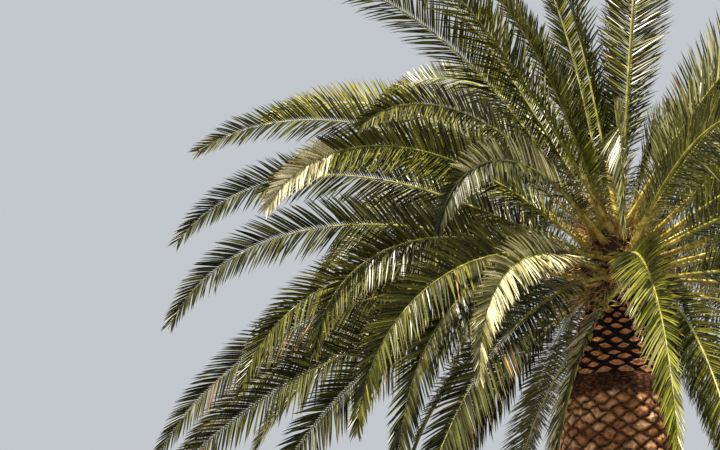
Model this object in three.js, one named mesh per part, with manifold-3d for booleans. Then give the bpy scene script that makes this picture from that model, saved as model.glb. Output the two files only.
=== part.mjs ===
// A stout date palm with a full crown of arching feather fronds, in millimetres, +Z up.
// The origin is the middle of the flat cut at ground level. The best side of the crown is seen from -Y, with
// +X to the right.
//
// The trunk carries a collar of cut leaf bases, the collar the heart, and the fronds stand on the heart. A
// frond is a three-sided rib with a row of leaflets on each side. Each leaflet of this model stands for a few
// real ones: it is a slim pyramid as wide at its root as its own share of the rib, so the blade is cut to the
// rib between them.

import * as THREE from "three";
import { ConvexGeometry } from "three/addons/geometries/ConvexGeometry.js";
import { mergeVertices } from "three/addons/utils/BufferGeometryUtils.js";
import Module from "manifold-3d";

const wasm = await Module();
wasm.setup();

// Trunk and collar
const TRUNK_RADIUS = 425;
const FLARE_RADIUS = 610; // at ground level
const FLARE_FADE = 260; // height in which the flare loses most of it
const SWELLS = 5; // round the root flare
const SWELL_DEPTH = 0.07; // as a share of the radius, at ground level
const SWELL_FADE = 300;
const TRUNK_TOP = 3060; // the ledge that the collar stands on
const TRUNK_SIDES = 26;
const TOP_LEAN = 140; // how far the heart stands to +X of the foot
const LEAN_HEIGHT = 3900; // the height at which it does
const COLLAR_TOP = 3620;
const COLLAR_LOW_RADIUS = 352;
const COLLAR_HIGH_RADIUS = 222;
const COLLAR_BELLY = 1.25; // over 1 keeps the lower half of its taper fuller
const STUB_COLUMNS = 14;
const STUB_ROWS = 12;
const STUB_DEPTH = 34; // how far a cut leaf base stands out of its groove
const STUB_FACE = 0.62; // half the width of its cut face, as a share of its lozenge's
const STUB_SIDES = 0.8; // how far the face's sides stand out, as a share of its foot
const STUB_HEAD = 0.7; // and its head

// Heart: half an egg, cut flat where it stands on the collar
const HEART_MIDDLE = 3880;
const HEART_RADIUS = 280;
const HEART_HALF_HEIGHT = 420;
const HEART_SIDES = 22;
const HEART_STEPS = 8; // rings from its foot to its top

// Crown
const FROND_COUNT = 88;
const FROND_LENGTH = 3750;
const GOLDEN_ANGLE = 137.508;
const FIRST_AZIMUTH = 20;
const YOUNGEST_LATITUDE = 80; // where on the heart the fronds stand, as degrees above its middle
const OLDEST_LATITUDE = -26;
const LEVEL_LATITUDE = -9.5; // where a frond leaves the heart level
const LATITUDE_A_DEGREE = 1.05; // how far above that one stands that rises by a degree
const MOST_FALL = 90; // degrees through which the fronds that arch most turn down
const MOST_FALL_AT = 28; // the slope at the foot of those
const LEAST_FALL = 13; // of those that stand up most
const LEAST_FALL_AT = 85;
const STEEPEST_TIP = 84; // degrees below level, at the tips of the spiral's own fronds
const TWIST = -70; // degrees by which a blade turns about its rib
const SCATTERED = { rise: 4, fall: 5, twist: 14 }; // degrees either way
const BENDS = [1.7, 1.9]; // of the youngest and the oldest
const YOUNGEST_SHARE = 0.86; // of the length, growing to the whole in a sixth of the fronds
const SHOWN_SIDE = [135, 240]; // azimuths where the spiral's own higher fronds are the shorter ones
const SHOWN_SIDE_RISE = 10; // the slope at the foot above which they are
const SHOWN_SIDE_SHARE = 0.76;
const CUT_SIDE = [243, 300]; // azimuths where the oldest fronds have been cut off, so that the collar shows
const CUT_PLACE = 41; // and one younger frond, by its place on the spiral
const OPEN_SIDE = [-50, 50]; // azimuths where steep fronds lean out further, so that the middle is open there
const OPEN_SIDE_RISE = 60;
const OPEN_SIDE_DROP = 15;
const FROND_NODES = 57;
const NEAREST_MATES = 6; // neighbours tried for a pair
const UPRIGHT_RISE = 58; // slopes at the foot that tell upright, arching and hanging fronds apart
const ARCHING_RISE = 10;
const WIDE_BEND = 100; // a frond that falls through more degrees than this is split at its crest

// One frond
const PETIOLE_END = 0.15; // share of the length that bears no leaflets
const LEAFLETS_A_SIDE = 13;
const LEAFLET_LENGTH = 400;
const LONGEST_AT = 0.25; // share of the blade where the leaflets are longest
const END_SHARES = [0.62, 0.3]; // of that length, at the blade's foot and at its tip
const LEAFLET_ANGLES = [56, 38]; // to the rib, in degrees, at the foot and at the tip
const TRUNK_ROOM = 20; // kept between leaflets and the trunk
const LEAFLET_LIFT = 24; // degrees above the blade's plane
const HANG_CLOSING = 0.4; // share of its angle that closes where the rib hangs straight down
const LEAFLET_SIZES = [1, 0.8, 0.6, 0.4]; // shares of its length, tried in turn until a leaflet has room
const LEAFLET_TILTS = [0, 16, -16, 32, -32]; // degrees added to its lift, tried at each size
const BLADE_END = 0.97; // share of the length where the last leaflets end
const TIP_LENGTH = 170;
const FULL_TWIST_AT = 0.4; // share of the length where the blade has turned about its rib by its whole twist
const CREST = 0.55; // share of the stations at which a frond is split
const SHEATH_SPAN = [0.14, 0.6]; // of the way from the feet to the necks of the two fronds that it joins
const SHEATH_INSET = 0.3; // how far its corners lie inside the ribs
const RIB_STEPS = 60; // steps in which a rib's curve is added up
const RIB_SIZES = [
  // share of the length, half width, height
  [0, 44, 44],
  [0.035, 30, 36],
  [PETIOLE_END, 23, 30],
  [1, 6, 9],
];

const CONTACT = 0.3; // between pieces that touch
const CLEARANCE = 4; // between leaflets of different fronds

const { degToRad, lerp, clamp } = THREE.MathUtils;

// The fronds that show best from the front. Azimuth 0 points to +X and 270 to the viewer. Rise is the slope
// at the foot and fall is how far the rib turns down by its tip, in degrees. A bend over 1 keeps the turn for
// the outer half. Twist turns the blade about its rib. A frond with a place stands there on the spiral, and
// the rest stand where they fit best.
const SHOWN_FRONDS = [
  { azimuth: 172, rise: 38, fall: 72, length: 3550, bend: 2.0, twist: -82 },
  { azimuth: 157, rise: 46, fall: 66, length: 3450, bend: 1.9, twist: -78 },
  { azimuth: 135, rise: 62, fall: 78, length: 3200, bend: 1.8, twist: -70 },
  { azimuth: 205, rise: 31, fall: 97, length: 3050, bend: 2.0, twist: -85 },
  { azimuth: 180, rise: 27, fall: 84, length: 3500, bend: 2.2, twist: -82 },
  { azimuth: 188, rise: 12, fall: 80, length: 3500, bend: 2.4, twist: -76 },
  { azimuth: 215, rise: 5, fall: 92, length: 3000, bend: 2.5, twist: -86 },
  { azimuth: 196, rise: 6, fall: 86, length: 3150, bend: 2.2, twist: -72 },
  { azimuth: 187, rise: -3, fall: 60, length: 3700, bend: 1.8, twist: -76 },
  { azimuth: 201, rise: -12, fall: 42, length: 3900, bend: 1.8, twist: -74 },
  { azimuth: 212, rise: -12, fall: 55, length: 3600, bend: 1.6, twist: -70 },
  { azimuth: 236, rise: 1, fall: 96, length: 2500, bend: 2.1, twist: -52 },
  { azimuth: 225, rise: -9, fall: 64, length: 3300, bend: 0.9, twist: -50 },
  { azimuth: 267, rise: 3, fall: 87, length: 2950, bend: 1.1, twist: 48 },
  { azimuth: 5, rise: 58, fall: 40, length: 3800, bend: 1.6, twist: 56 },
  { azimuth: 185, rise: 65, fall: 40, length: 3900, bend: 1.6, twist: -80 },
  { azimuth: 176, rise: 61, fall: 66, length: 3900, bend: 1.9, twist: -80 },
  { azimuth: 228, rise: 32, fall: 110, length: 2450, bend: 1.6, twist: -72 },
  { place: 0, azimuth: 0, rise: 84, fall: 6, length: 3800, bend: 1.6, twist: 80 },
  { place: 2, azimuth: 295, rise: 82, fall: 12, length: 3600, bend: 1.6, twist: -42 },
  { place: 7, azimuth: 210, rise: 81, fall: 25, length: 3600, bend: 1.6, twist: -60 },
  { place: 15, azimuth: 301, rise: 44, fall: 74, length: 3500, bend: 1.8, twist: -80 },
  { place: 20, azimuth: 216, rise: 52, fall: 42, length: 3750, bend: 1.7, twist: -80 },
  { place: 28, azimuth: 260, rise: 63, fall: 166, length: 2500, bend: 1.15, twist: 70 },
  { place: 46, azimuth: 223, rise: -5, fall: 89, length: 3200, bend: 1.4, twist: -60 },
  { place: 54, azimuth: 223, rise: -3, fall: 80, length: 3300, bend: 1.9, twist: -60 },
  { place: 66, azimuth: 96, rise: 1, fall: 63, length: 3500, bend: 1.8, twist: 10 },
  { place: 70, azimuth: 279, rise: -18, fall: 70, length: 3000, bend: 1.1, twist: 30 },
  { place: 82, azimuth: 197, rise: -33, fall: 36, length: 2700, bend: 0.8, twist: -70 },
  { place: 83, azimuth: 229, rise: -20, fall: 66, length: 2600, bend: 0.6, twist: 40 },
  { place: 87, azimuth: 103, rise: -19, fall: 45, length: 3400, bend: 1.8, twist: -15 },
];

/** A number from -1 to 1 that is the same each time for the same pair of indexes. */
function scatter(i, k) {
  const x = Math.sin(i * 12.9898 + k * 78.233) * 43758.5453;
  return 2 * (x - Math.floor(x)) - 1;
}

/** A unit vector at this azimuth and elevation, in degrees. */
function direction(azimuth, elevation) {
  const a = degToRad(azimuth);
  const e = degToRad(elevation);
  return new THREE.Vector3(Math.cos(e) * Math.cos(a), Math.cos(e) * Math.sin(a), Math.sin(e));
}

/** How far the trunk's axis has leant to +X at this height. */
function leanAt(z) {
  return TOP_LEAN * Math.pow(Math.max(z, 0) / LEAN_HEIGHT, 1.5);
}

/** Radius of the trunk and collar at this height, for keeping leaflets off them. */
function trunkRadiusAt(z) {
  if (z > TRUNK_TOP) return COLLAR_LOW_RADIUS + STUB_DEPTH;
  return TRUNK_RADIUS + (FLARE_RADIUS - TRUNK_RADIUS) * Math.exp(-z / FLARE_FADE);
}

/** A geometry with only positions and shared vertices, as manifold-3d needs it. */
function bare(geometry) {
  geometry.deleteAttribute("normal");
  geometry.deleteAttribute("uv");
  return mergeVertices(geometry, 1e-3);
}

function solidOf(geometry) {
  const merged = bare(geometry);
  return new wasm.Manifold(
    new wasm.Mesh({
      numProp: 3,
      vertProperties: merged.attributes.position.array,
      triVerts: new Uint32Array(merged.index.array),
    }),
  );
}

function geometryOf(solid) {
  const mesh = solid.getMesh();
  return new THREE.BufferGeometry()
    .setAttribute("position", new THREE.BufferAttribute(mesh.vertProperties, 3))
    .setIndex(new THREE.BufferAttribute(mesh.triVerts, 1));
}

/** A closed geometry from vectors and triples of indexes. */
function geometryFrom(points, triangles) {
  return new THREE.BufferGeometry().setFromPoints(points).setIndex(triangles.flat());
}

/** A body of revolution from [radius, height] pairs, standing on +Z and leaning with the trunk's axis. */
function turned(profile, sides) {
  const points = profile.map(([r, z]) => new THREE.Vector2(r, z));
  const geometry = new THREE.LatheGeometry(points, sides).rotateX(Math.PI / 2);
  const position = geometry.attributes.position;
  for (let i = 0; i < position.count; i++) {
    position.setX(i, position.getX(i) + leanAt(position.getZ(i)));
  }
  return bare(geometry);
}

/** The trunk: a root flare with shallow swellings, a slow taper and a rounded ledge at the top. */
function trunkGeometry() {
  const heights = [0, 110, 260, 450, 700, 1050, 1500, 2000, 2500, 2880];
  const profile = heights.map((z, i) => [trunkRadiusAt(z) * (1 + 0.012 * scatter(i, 40)), z]);
  profile.unshift([0, 0]);
  profile.push([TRUNK_RADIUS - 12, TRUNK_TOP - 60], [TRUNK_RADIUS - 48, TRUNK_TOP], [0, TRUNK_TOP]);
  const geometry = turned(profile, TRUNK_SIDES);
  const position = geometry.attributes.position;
  for (let i = 0; i < position.count; i++) {
    const [x, y, z] = [position.getX(i), position.getY(i), position.getZ(i)];
    const swell = 1 + SWELL_DEPTH * Math.exp(-z / SWELL_FADE) * Math.sin(SWELLS * Math.atan2(y, x) + 1);
    position.setXY(i, x * swell, y * swell);
  }
  return geometry;
}

/**
 * The collar: a lattice of lozenges round a cone. Each lozenge is a groove with a flat-topped leaf base
 * standing in it, cut off square, and the half lozenges at both rims are left plain.
 */
function collarGeometry() {
  const low = TRUNK_TOP + CONTACT;
  const rowHeight = (COLLAR_TOP - low) / STUB_ROWS;
  const points = [];
  const triangles = [];
  // The lattice's corner in a row, counted in half columns round the cone. Outward moves it off the surface.
  const place = (row, half, outward, drop = 0) => {
    const share = row / STUB_ROWS;
    const radius = lerp(COLLAR_LOW_RADIUS, COLLAR_HIGH_RADIUS, Math.pow(share, COLLAR_BELLY)) + outward;
    const turn = (Math.PI * half) / STUB_COLUMNS;
    const z = low + row * rowHeight - drop;
    return new THREE.Vector3(radius * Math.cos(turn) + leanAt(z), radius * Math.sin(turn), z);
  };
  const add = (point) => points.push(point) - 1;
  const rings = [];
  for (let row = 0; row <= STUB_ROWS; row++) {
    rings.push(
      Array.from({ length: STUB_COLUMNS }, (_, c) => add(place(row, 2 * c + (row % 2), 0))),
    );
  }
  const at = (row, half) => rings[row][((half - (row % 2)) / 2 + STUB_COLUMNS) % STUB_COLUMNS];
  for (let row = 0; row <= STUB_ROWS; row++) {
    for (let c = 0; c < STUB_COLUMNS; c++) {
      const half = 2 * c + ((row + 1) % 2);
      const [left, right] = [half - 1, half + 1];
      if (row === 0) {
        triangles.push([at(0, left), at(0, right), at(1, half)]);
      } else if (row === STUB_ROWS) {
        triangles.push([at(row, right), at(row, left), at(row - 1, half)]);
      } else {
        const rim = [at(row - 1, half), at(row, right), at(row + 1, half), at(row, left)];
        const depth = STUB_DEPTH * (1 + 0.15 * scatter(row, c));
        const face = [
          add(place(row - 0.5, half, depth)),
          add(place(row, half + STUB_FACE, depth * STUB_SIDES)),
          add(place(row + 0.5, half, depth * STUB_HEAD)),
          add(place(row, half - STUB_FACE, depth * STUB_SIDES)),
        ];
        for (let k = 0; k < 4; k++) {
          const next = (k + 1) % 4;
          triangles.push([rim[k], rim[next], face[next]], [rim[k], face[next], face[k]]);
        }
        triangles.push([face[0], face[1], face[2]], [face[0], face[2], face[3]]);
      }
    }
  }
  const under = add(new THREE.Vector3(leanAt(low), 0, low));
  const over = add(new THREE.Vector3(leanAt(COLLAR_TOP), 0, COLLAR_TOP));
  for (let c = 0; c < STUB_COLUMNS; c++) {
    const next = (c + 1) % STUB_COLUMNS;
    triangles.push([under, rings[0][next], rings[0][c]]);
    triangles.push([over, rings[STUB_ROWS][c], rings[STUB_ROWS][next]]);
  }
  return geometryFrom(points, triangles);
}

/** The heart that the fronds stand on. */
function heartGeometry() {
  const low = COLLAR_TOP + CONTACT;
  const profile = [[0, low]];
  const start = Math.asin((low - HEART_MIDDLE) / HEART_HALF_HEIGHT);
  for (let i = 0; i < HEART_STEPS; i++) {
    const a = lerp(start, Math.PI / 2, i / HEART_STEPS);
    profile.push([
      HEART_RADIUS * Math.cos(a),
      i ? HEART_MIDDLE + HEART_HALF_HEIGHT * Math.sin(a) : low,
    ]);
  }
  profile.push([0, HEART_MIDDLE + HEART_HALF_HEIGHT]);
  return turned(profile, HEART_SIDES);
}

/** The slope at its foot of a frond that stands at this latitude on the heart, and the other way round. */
const riseAt = (latitude) => (latitude - LEVEL_LATITUDE) / LATITUDE_A_DEGREE;
const latitudeFor = (rise) => LEVEL_LATITUDE + rise * LATITUDE_A_DEGREE;

const isWithin = (value, [low, high]) => value > low && value < high;

/** How many degrees such a frond turns down: the arching ones most, the upright and hanging ones less. */
function fallAt(rise) {
  if (rise < MOST_FALL_AT) return MOST_FALL - (MOST_FALL_AT - rise);
  const steeper = (rise - MOST_FALL_AT) / (LEAST_FALL_AT - MOST_FALL_AT);
  return MOST_FALL - (MOST_FALL - LEAST_FALL) * Math.pow(steeper, 1.5);
}

/** The frond that the spiral puts in place i, from the youngest in the middle to the oldest at the rim. */
function spiralFrond(i) {
  const age = i / (FROND_COUNT - 1);
  const height = lerp(
    Math.sin(degToRad(YOUNGEST_LATITUDE)),
    Math.sin(degToRad(OLDEST_LATITUDE)),
    age,
  );
  const latitude = THREE.MathUtils.radToDeg(Math.asin(height));
  const azimuth = (FIRST_AZIMUTH + i * GOLDEN_ANGLE) % 360;
  let rise = riseAt(latitude) + SCATTERED.rise * scatter(i, 1);
  if (isWithin(((azimuth + 180) % 360) - 180, OPEN_SIDE) && rise > OPEN_SIDE_RISE) rise -= OPEN_SIDE_DROP;
  const fall = fallAt(rise) + SCATTERED.fall * scatter(i, 2);
  const grown = lerp(YOUNGEST_SHARE, 1, Math.min(1, 6 * age)) * (0.96 + 0.05 * scatter(i, 3));
  const share = isWithin(azimuth, SHOWN_SIDE) && rise > SHOWN_SIDE_RISE ? SHOWN_SIDE_SHARE : 1;
  return {
    index: i,
    site: { azimuth, latitude },
    azimuth,
    rise,
    fall: Math.min(fall, rise + STEEPEST_TIP),
    bend: lerp(...BENDS, age),
    length: FROND_LENGTH * grown * share,
    twist: TWIST + SCATTERED.twist * scatter(i, 4),
  };
}

/** All fronds. Each one that shows best takes its own place, or the nearest place of the spiral. */
function crown() {
  const fronds = Array.from({ length: FROND_COUNT }, (_, i) => spiralFrond(i));
  const taken = new Set(SHOWN_FRONDS.map((shown) => shown.place));
  for (const shown of SHOWN_FRONDS) {
    const wanted = direction(shown.azimuth, latitudeFor(shown.rise));
    const near = (f) => direction(f.site.azimuth, f.site.latitude).dot(wanted);
    const free = fronds.filter((f) => !taken.has(f.index));
    const nearest = free.reduce((best, f) => (near(f) > near(best) ? f : best));
    const own = fronds[shown.place] ?? nearest;
    taken.add(own.index);
    Object.assign(own, shown);
  }
  const kept = fronds.filter((f) => f.index !== CUT_PLACE);
  return kept.filter((f) => taken.has(f.index) || f.rise > 0 || !isWithin(f.azimuth, CUT_SIDE));
}

/** Half width and height of a rib at a share of its length. */
function ribSize(share) {
  const k = RIB_SIZES.findIndex(([s]) => s >= share - 1e-9);
  if (k <= 0) return RIB_SIZES[0].slice(1);
  const [s0, w0, h0] = RIB_SIZES[k - 1];
  const [s1, w1, h1] = RIB_SIZES[k];
  const t = (share - s0) / (s1 - s0);
  return [lerp(w0, w1, t), lerp(h0, h1, t)];
}

/** Points and directions along a frond's rib, from its foot on the heart, at these shares of its length. */
function ribStations(frond, foot, shares) {
  const point = foot.clone();
  const flat = direction(frond.azimuth + 90, 0); // to the left of the rib
  const stations = [];
  let step = 0;
  for (const share of shares) {
    while ((step + 0.5) / RIB_STEPS < share) {
      const middle = (step + 0.5) / RIB_STEPS;
      const slope = frond.rise - frond.fall * Math.pow(middle, frond.bend);
      point.addScaledVector(direction(frond.azimuth, slope), frond.length / RIB_STEPS);
      step++;
    }
    const along = direction(frond.azimuth, frond.rise - frond.fall * Math.pow(share, frond.bend));
    const over = new THREE.Vector3().crossVectors(along, flat);
    const roll = degToRad(frond.twist * Math.pow(Math.min(share / FULL_TWIST_AT, 1), 0.75));
    const left = flat.clone().multiplyScalar(Math.cos(roll)).addScaledVector(over, Math.sin(roll));
    const up = over.clone().multiplyScalar(Math.cos(roll)).addScaledVector(flat, -Math.sin(roll));
    const [halfWidth, height] = ribSize(share);
    stations.push({
      share,
      at: point.clone(),
      along,
      left,
      up,
      corners: [
        point.clone().addScaledVector(up, height / 2),
        point.clone().addScaledVector(up, -height / 2).addScaledVector(left, halfWidth),
        point.clone().addScaledVector(up, -height / 2).addScaledVector(left, -halfWidth),
      ],
    });
  }
  return stations;
}

/** Moves the foot's corners along the rib into the plane of the heart's facet, the contact gap above it. */
function seatFoot(station, seat) {
  for (const corner of station.corners) {
    const off = seat.point.clone().sub(corner).dot(seat.normal) + CONTACT;
    corner.addScaledVector(station.along, off / station.along.dot(seat.normal));
  }
}

/** The leaflet's length as a share of the longest, at a share of the blade from its foot to its tip. */
function leafletShare(t) {
  const [first, last] = END_SHARES;
  if (t < LONGEST_AT) return lerp(first, 1, t / LONGEST_AT);
  return lerp(1, last, Math.pow((t - LONGEST_AT) / (1 - LONGEST_AT), 1.8));
}

/** The four root corners and the tip of one leaflet. Side is 1 for the left row and -1 for the right one. */
function leafletPoints(a, b, side, length, lift) {
  const k = side > 0 ? 1 : 2;
  const root = [a.corners[0], b.corners[0], b.corners[k], a.corners[k]];
  const middle = root.reduce((sum, p) => sum.add(p), new THREE.Vector3()).divideScalar(4);
  const t = (a.share - PETIOLE_END) / (1 - PETIOLE_END);
  const hanging = 1 - HANG_CLOSING * Math.pow(Math.max(-a.along.z, 0), 2);
  const sweep = degToRad(lerp(...LEAFLET_ANGLES, t) * hanging);
  const outward = a.left.clone().multiplyScalar(side * Math.cos(degToRad(lift)));
  outward.addScaledVector(a.up, Math.sin(degToRad(lift)));
  const tip = middle
    .addScaledVector(a.along, length * Math.cos(sweep))
    .addScaledVector(outward, length * Math.sin(sweep));
  return [...root, tip];
}

const PYRAMID = [
  [0, 1, 4],
  [1, 2, 4],
  [2, 3, 4],
  [3, 0, 4],
  [0, 3, 2],
  [0, 2, 1],
];
const PRISM = [
  [0, 1, 2],
  [5, 4, 3],
  [0, 3, 4],
  [0, 4, 1],
  [1, 4, 5],
  [1, 5, 2],
  [2, 5, 3],
  [2, 3, 0],
];

/** A small convex solid with its box, for finding out what would touch. */
function probe(owner, points, triangles) {
  let solid = solidOf(geometryFrom(points, triangles));
  if (solid.volume() < 0) {
    solid = solidOf(geometryFrom(points, triangles.map(([a, b, c]) => [a, c, b])));
  }
  return { owner, solid, box: new THREE.Box3().setFromPoints(points).expandByScalar(CLEARANCE) };
}

/** Whether a probe keeps its clearance to the pieces of all other owners. */
function isClear(candidate, placed) {
  return placed.every(
    (p) =>
      p.owner === candidate.owner ||
      !p.box.intersectsBox(candidate.box) ||
      p.solid.minGap(candidate.solid, CLEARANCE) >= CLEARANCE,
  );
}

/** Whether points stay out of the trunk and above the ground. */
function offTheTrunk(points) {
  return points.every((p) => {
    const fromAxis = Math.hypot(p.x - leanAt(p.z), p.y);
    return p.z > HEART_MIDDLE || (fromAxis > trunkRadiusAt(p.z) + TRUNK_ROOM && p.z > 0);
  });
}

/** Gives each frond its seat, its rib and the leaflets that have room. Leaflets shrink or tilt to find it. */
function growFronds(fronds, heart) {
  const caster = new THREE.Raycaster();
  const shares = [0, RIB_SIZES[1][0]];
  for (let k = 0; k <= LEAFLETS_A_SIDE; k++) {
    shares.push(lerp(PETIOLE_END, BLADE_END, k / LEAFLETS_A_SIDE));
  }
  const centre = new THREE.Vector3(leanAt(HEART_MIDDLE), 0, HEART_MIDDLE);
  const placed = [];
  for (const frond of fronds) {
    const { azimuth, latitude } = frond.site;
    const site = direction(azimuth, 0).multiplyScalar(HEART_RADIUS * Math.cos(degToRad(latitude)));
    site.z = HEART_HALF_HEIGHT * Math.sin(degToRad(latitude));
    caster.set(centre.clone().addScaledVector(site, 2), site.clone().normalize().negate());
    const hit = caster.intersectObject(heart)[0];
    frond.seat = { point: hit.point, normal: hit.face.normal.clone() };
    frond.stations = ribStations(frond, hit.point, shares);
    seatFoot(frond.stations[0], frond.seat);
    frond.leaflets = frond.stations.slice(2, -1).map(() => [null, null]);
    for (let k = 1; k < frond.stations.length; k++) {
      const corners = [...frond.stations[k - 1].corners, ...frond.stations[k].corners];
      placed.push(probe(frond.index, corners, PRISM));
    }
  }
  for (let k = LEAFLETS_A_SIDE - 1; k >= 0; k--) {
    for (const frond of fronds) {
      const [a, b] = [frond.stations[k + 2], frond.stations[k + 3]];
      const full = LEAFLET_LENGTH * leafletShare(k / LEAFLETS_A_SIDE);
      [1, -1].forEach((side, s) => {
        for (const share of LEAFLET_SIZES) {
          const fit = LEAFLET_TILTS.find((tilt) => {
            const points = leafletPoints(a, b, side, full * share, LEAFLET_LIFT + tilt);
            if (!offTheTrunk(points.slice(4))) return false;
            const trial = probe(frond.index, points, PYRAMID);
            if (!isClear(trial, placed)) {
              trial.solid.delete();
              return false;
            }
            frond.leaflets[k][s] = points[4];
            placed.push(trial);
            return true;
          });
          if (fit !== undefined) return;
        }
      });
    }
  }
  return placed;
}

/** A closed geometry for the stretch of a frond between two stations. The last stretch ends in a point. */
function frondGeometry(frond, first, last) {
  const points = [];
  const triangles = [];
  const add = (point) => points.push(point) - 1;
  const inner = last < frond.stations.length - 1;
  const rings = [];
  for (let k = first; k <= last; k++) {
    const { corners, along } = frond.stations[k];
    const back = inner && k === last ? -CONTACT : 0;
    rings.push(corners.map((p) => add(p.clone().addScaledVector(along, back))));
  }
  triangles.push([rings[0][0], rings[0][1], rings[0][2]]);
  for (let r = 0; r + 1 < rings.length; r++) {
    const [a, b] = [rings[r], rings[r + 1]];
    const tips = frond.leaflets[first + r - 2] ?? [null, null];
    const walls = [
      [a[1], a[0], b[0], b[1], tips[0]],
      [a[2], a[1], b[1], b[2], null],
      [a[0], a[2], b[2], b[0], tips[1]],
    ];
    for (const [p, q, s, t, tip] of walls) {
      if (tip) {
        const apex = add(tip);
        triangles.push([p, q, apex], [q, s, apex], [s, t, apex], [t, p, apex]);
      } else {
        triangles.push([p, q, s], [p, s, t]);
      }
    }
  }
  const end = rings[rings.length - 1];
  if (inner) {
    triangles.push([end[0], end[2], end[1]]);
  } else {
    const { at, along } = frond.stations[last];
    const tip = add(at.clone().addScaledVector(along, TIP_LENGTH));
    triangles.push([end[1], end[0], tip], [end[2], end[1], tip], [end[0], end[2], tip]);
  }
  return geometryFrom(points, triangles);
}

/** The sheath that joins the feet of two fronds, just above the heart. Its ends lie inside the two ribs. */
function sheathGeometry(a, b) {
  const points = [a, b].flatMap(({ stations: [foot, neck] }) =>
    SHEATH_SPAN.flatMap((t) => {
      const ring = foot.corners.map((p, c) => p.clone().lerp(neck.corners[c], t));
      const middle = ring.reduce((sum, p) => sum.add(p), new THREE.Vector3()).divideScalar(3);
      return ring.map((p) => p.lerp(middle, SHEATH_INSET));
    }),
  );
  return new ConvexGeometry(points);
}

/** Pairs neighbours, youngest first, until the fronds fit in the number of nodes. */
function frondGroups(fronds, placed) {
  const whole = fronds.map((f) => [f]);
  const isSplit = (f) => f.fall > WIDE_BEND;
  const nodesFor = (groups) => groups.length + groups.flat().filter(isSplit).length;
  for (const frond of fronds) {
    if (nodesFor(whole) <= FROND_NODES) break;
    const alone = whole.filter((g) => g.length === 1 && !isSplit(g[0]) && g[0] !== frond);
    const own = whole.find((g) => g.length === 1 && g[0] === frond);
    if (!own || isSplit(frond)) continue;
    const spacing = (g) => g[0].seat.point.distanceTo(frond.seat.point);
    alone.sort((g, h) => spacing(g) - spacing(h));
    const mate = alone.slice(0, NEAREST_MATES).find(([other]) => {
      const sheath = solidOf(sheathGeometry(frond, other));
      return placed.every(
        (p) =>
          p.owner === frond.index ||
          p.owner === other.index ||
          p.solid.minGap(sheath, CLEARANCE) >= CLEARANCE / 2,
      );
    });
    if (!mate) continue;
    own.push(mate[0]);
    whole.splice(whole.indexOf(mate), 1);
  }
  return whole;
}

/** The part of the crown that a frond is named for. */
function tierOf(frond) {
  if (frond.rise > UPRIGHT_RISE) return "upright";
  return frond.rise > ARCHING_RISE ? "arching" : "hanging";
}

const bark = new THREE.MeshStandardMaterial({ color: 0x8a6a4c, roughness: 0.95, metalness: 0 });
const cutWood = new THREE.MeshStandardMaterial({ color: 0xb07a4c, roughness: 0.9, metalness: 0 });
const sheathBrown = new THREE.MeshStandardMaterial({ color: 0x9a6f2c, roughness: 0.9, metalness: 0 });
const leafGreen = new THREE.MeshStandardMaterial({ color: 0x66712c, roughness: 0.55, metalness: 0 });

function piece(name, geometry, material) {
  const mesh = new THREE.Mesh(geometry, material);
  mesh.name = name;
  return mesh;
}

function buildPalm() {
  const palm = new THREE.Group();
  palm.add(piece("trunk", trunkGeometry(), bark));
  palm.add(piece("leaf_base_collar", collarGeometry(), cutWood));
  const heart = piece("heart", heartGeometry(), sheathBrown);
  heart.geometry.computeVertexNormals();
  palm.add(heart);

  const fronds = crown();
  const placed = growFronds(fronds, heart);
  heart.geometry.deleteAttribute("normal");
  const counts = { upright: 0, arching: 0, hanging: 0 };
  for (const group of frondGroups(fronds, placed)) {
    const tier = tierOf(group[0]);
    const number = String(++counts[tier]).padStart(2, "0");
    const last = group[0].stations.length - 1;
    if (group.length > 1) {
      const joined = group
        .map((f) => solidOf(frondGeometry(f, 0, last)))
        .reduce((sum, solid) => sum.add(solid), solidOf(sheathGeometry(...group)));
      palm.add(piece(`${tier}_frond_pair_${number}`, geometryOf(joined), leafGreen));
    } else if (group[0].fall > WIDE_BEND) {
      const crest = Math.round(last * CREST);
      palm.add(
        piece(`${tier}_frond_${number}_inner`, frondGeometry(group[0], 0, crest), leafGreen),
      );
      palm.add(
        piece(`${tier}_frond_${number}_outer`, frondGeometry(group[0], crest, last), leafGreen),
      );
    } else {
      palm.add(piece(`${tier}_frond_${number}`, frondGeometry(group[0], 0, last), leafGreen));
    }
  }
  return palm;
}

export default buildPalm();
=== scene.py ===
# A stout date palm with a full crown of arching feather fronds, dressed over its imported solids.
# The crown follows the same rule as the solids: a spiral of fronds on the heart, with the ones that show
# best from the front set one by one. Here each frond gets its full rows of leaflets, its spines and its
# rounded rib. Lengths are in metres and angles in degrees, apart from names that end in _MM.
import math

import bmesh
import bpy
import numpy as np
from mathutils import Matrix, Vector


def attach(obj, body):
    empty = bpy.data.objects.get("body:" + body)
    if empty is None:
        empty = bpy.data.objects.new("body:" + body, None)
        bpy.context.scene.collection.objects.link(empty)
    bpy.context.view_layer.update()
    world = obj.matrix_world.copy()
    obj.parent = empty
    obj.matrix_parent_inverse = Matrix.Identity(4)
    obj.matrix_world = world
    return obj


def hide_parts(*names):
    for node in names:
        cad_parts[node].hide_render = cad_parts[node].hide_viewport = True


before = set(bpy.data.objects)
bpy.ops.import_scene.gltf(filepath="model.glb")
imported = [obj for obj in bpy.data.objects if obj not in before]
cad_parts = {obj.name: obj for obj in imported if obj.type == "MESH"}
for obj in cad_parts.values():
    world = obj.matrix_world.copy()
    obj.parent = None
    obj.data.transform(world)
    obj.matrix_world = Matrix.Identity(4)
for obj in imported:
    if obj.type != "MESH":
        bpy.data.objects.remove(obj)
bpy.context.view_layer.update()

rng = np.random.default_rng(11)

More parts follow.
